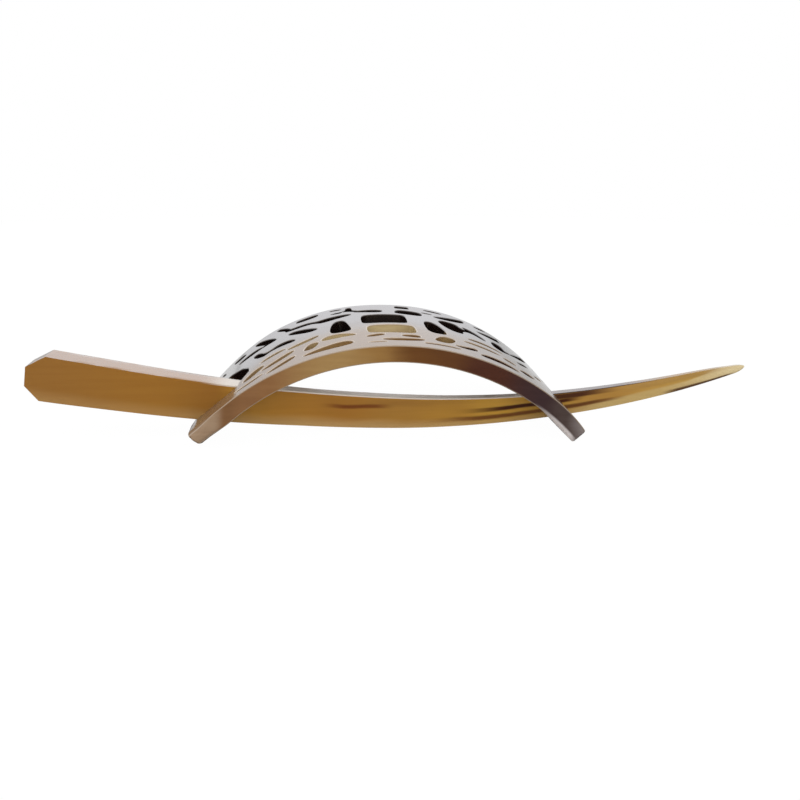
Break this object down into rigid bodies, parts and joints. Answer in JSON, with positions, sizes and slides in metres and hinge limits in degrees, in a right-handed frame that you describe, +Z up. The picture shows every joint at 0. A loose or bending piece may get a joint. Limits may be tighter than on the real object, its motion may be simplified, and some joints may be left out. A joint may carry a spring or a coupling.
{
  "type": "horn hair slide with a stick",
  "caption": "Arched, pierced horn plate that covers a bun of hair, held by a curved, tapering horn stick threaded through slots in its two flanks.",
  "frame": {"origin": "on the surface that the slide stands on, below the middle of its bounding box", "axes": "+X along the stick from its handle to its point, +Y from the front to the back of the plate, +Z up"},
  "size_m": [0.1758, 0.055, 0.024],
  "materials": {
    "plate_horn": "polished buffalo horn, honey brown turning to near black, slightly translucent",
    "stick_horn": "polished buffalo horn, honey brown with dark streaks and a pale tip"
  },
  "bodies": {
    "plate": {"pierced_plate": "plate_horn"},
    "stick": {"hair_stick": "stick_horn"}
  },
  "joints": [
    {"name": "stick_draw", "type": "hinge", "parent": "plate", "child": "stick", "pos_m": [0.0027, -0.01375, 0.35], "axis": [0, 1, 0], "range_deg": [0, 22]}
  ]
}
